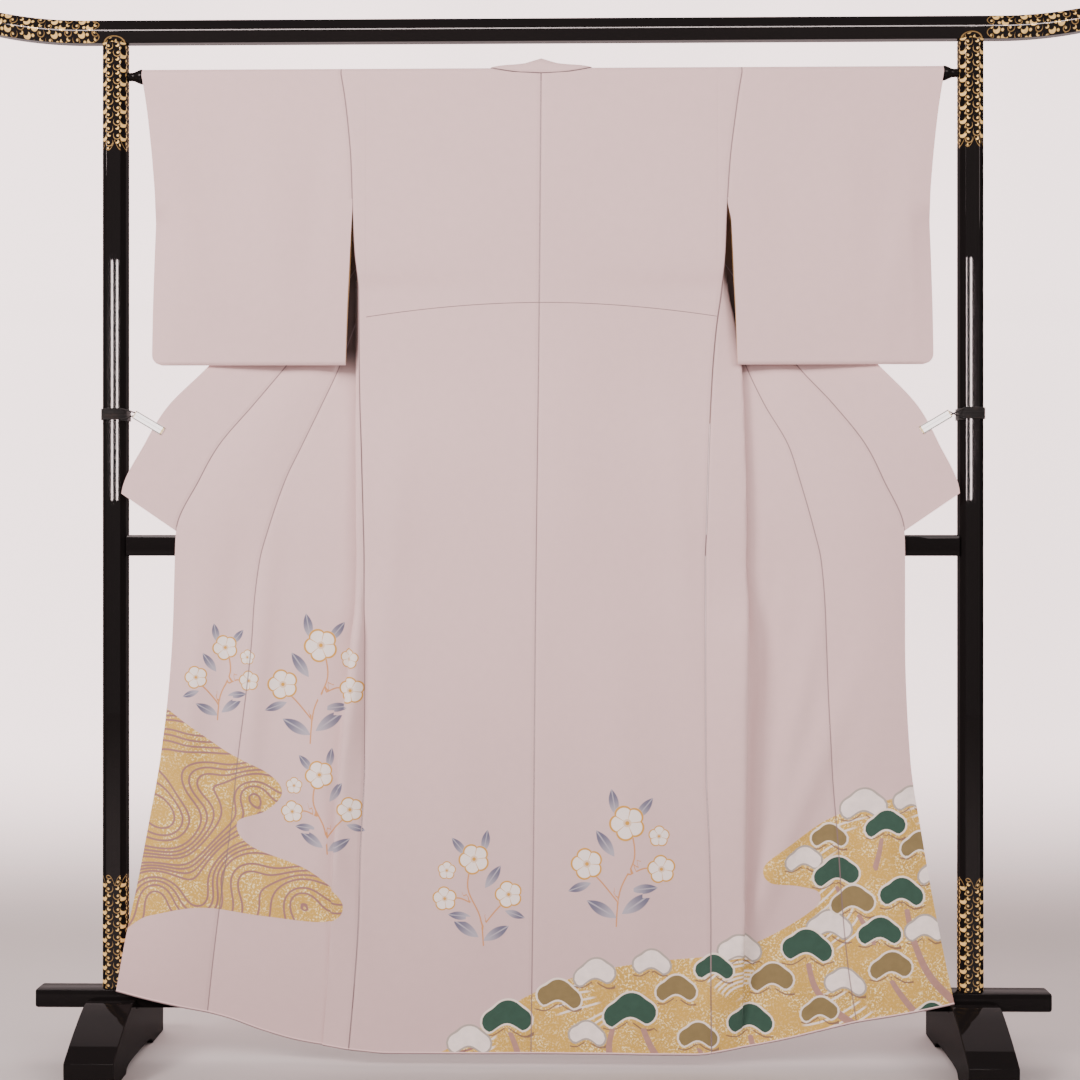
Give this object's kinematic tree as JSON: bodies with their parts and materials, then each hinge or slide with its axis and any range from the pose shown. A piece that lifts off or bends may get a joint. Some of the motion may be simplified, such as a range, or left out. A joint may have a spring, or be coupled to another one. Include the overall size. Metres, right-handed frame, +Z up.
{
  "type": "irotomesode kimono on a kimono stand",
  "caption": "Formal coloured kimono hung spread open on a lacquered kimono stand, back to the front, its fronts folded out and clipped to the posts.",
  "frame": {"origin": "on the floor under the middle of the stand, at the bottom centre of the whole object", "axes": "+X along the rails, to the right as one looks at the back of the garment; +Y behind the garment, away from that viewer; +Z up"},
  "size_m": [1.91, 0.346, 1.7615],
  "materials": {
    "silk": "matte crepe silk, pinkish grey, with gold, white and coloured work towards the hem",
    "collar_silk": "matte crepe silk, pinkish grey, doubled",
    "lacquer": "black lacquer on wood, glossy, with gold scrollwork at the ends",
    "clip_plastic": "white plastic",
    "tie_cord": "thin black cord"
  },
  "bodies": {
    "root": {"body_left": "silk", "body_right": "silk", "okumi_left": "silk", "okumi_right": "silk", "sleeve_left": "silk", "sleeve_right": "silk", "collar": "collar_silk", "post_left": "lacquer", "post_right": "lacquer", "top_rail": "lacquer", "mid_rail": "lacquer", "base_rail": "lacquer", "foot_left": "lacquer", "foot_right": "lacquer", "rod": "lacquer", "rod_cup_left": "lacquer", "rod_cup_right": "lacquer", "clip_left": "clip_plastic", "clip_right": "clip_plastic", "tie_left": "tie_cord", "tie_right": "tie_cord"}
  },
  "joints": []
}
